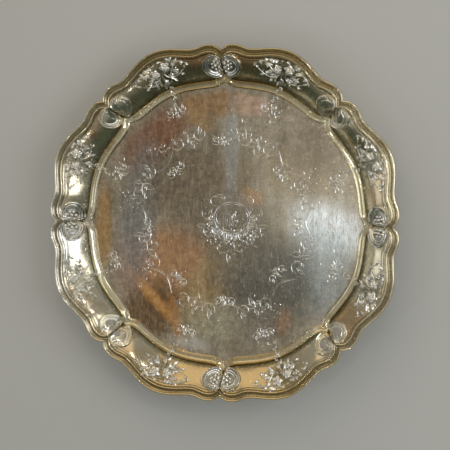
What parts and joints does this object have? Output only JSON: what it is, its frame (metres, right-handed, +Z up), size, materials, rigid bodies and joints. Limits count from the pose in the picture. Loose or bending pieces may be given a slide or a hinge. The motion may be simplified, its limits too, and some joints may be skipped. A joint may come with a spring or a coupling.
{
  "type": "footed salver",
  "caption": "Round flat-welled serving tray with a raised, lobed and notched border, reeded rim, relief ornaments on the border and small cast feet.",
  "frame": {"origin": "on the table under the middle of the well, at the level of the foot undersides", "axes": "+Z up, out of the well; +X and +Y each through a main notch with a shell on both sides"},
  "size_m": [0.3864, 0.3864, 0.0483],
  "materials": {
    "well_silver": "tarnished silver, worn polish, finely scratched and engraved",
    "border_silver": "tarnished silver, lightly chased",
    "moulding_silver": "polished silver with yellow tarnish in the hollows",
    "ornament_silver": "cast and chased silver, bright on the high points, dark in the hollows",
    "foot_silver": "cast silver, worn polish"
  },
  "bodies": {
    "root": {"well_plate": "well_silver", "border_panel_1": "border_silver", "rim_moulding_1": "moulding_silver", "well_moulding_1": "moulding_silver", "flower_spray_1": "ornament_silver", "shell_1": "ornament_silver", "scroll_boss_1": "ornament_silver", "border_panel_2": "border_silver", "rim_moulding_2": "moulding_silver", "well_moulding_2": "moulding_silver", "flower_spray_2": "ornament_silver", "shell_2": "ornament_silver", "scroll_boss_2": "ornament_silver", "border_panel_3": "border_silver", "rim_moulding_3": "moulding_silver", "well_moulding_3": "moulding_silver", "flower_spray_3": "ornament_silver", "shell_3": "ornament_silver", "scroll_boss_3": "ornament_silver", "border_panel_4": "border_silver", "rim_moulding_4": "moulding_silver", "well_moulding_4": "moulding_silver", "flower_spray_4": "ornament_silver", "shell_4": "ornament_silver", "scroll_boss_4": "ornament_silver", "border_panel_5": "border_silver", "rim_moulding_5": "moulding_silver", "well_moulding_5": "moulding_silver", "flower_spray_5": "ornament_silver", "shell_5": "ornament_silver", "scroll_boss_5": "ornament_silver", "border_panel_6": "border_silver", "rim_moulding_6": "moulding_silver", "well_moulding_6": "moulding_silver", "flower_spray_6": "ornament_silver", "shell_6": "ornament_silver", "scroll_boss_6": "ornament_silver", "border_panel_7": "border_silver", "rim_moulding_7": "moulding_silver", "well_moulding_7": "moulding_silver", "flower_spray_7": "ornament_silver", "shell_7": "ornament_silver", "scroll_boss_7": "ornament_silver", "border_panel_8": "border_silver", "rim_moulding_8": "moulding_silver", "well_moulding_8": "moulding_silver", "flower_spray_8": "ornament_silver", "shell_8": "ornament_silver", "scroll_boss_8": "ornament_silver", "foot_1": "foot_silver", "foot_2": "foot_silver", "foot_3": "foot_silver", "foot_4": "foot_silver"}
  },
  "joints": []
}
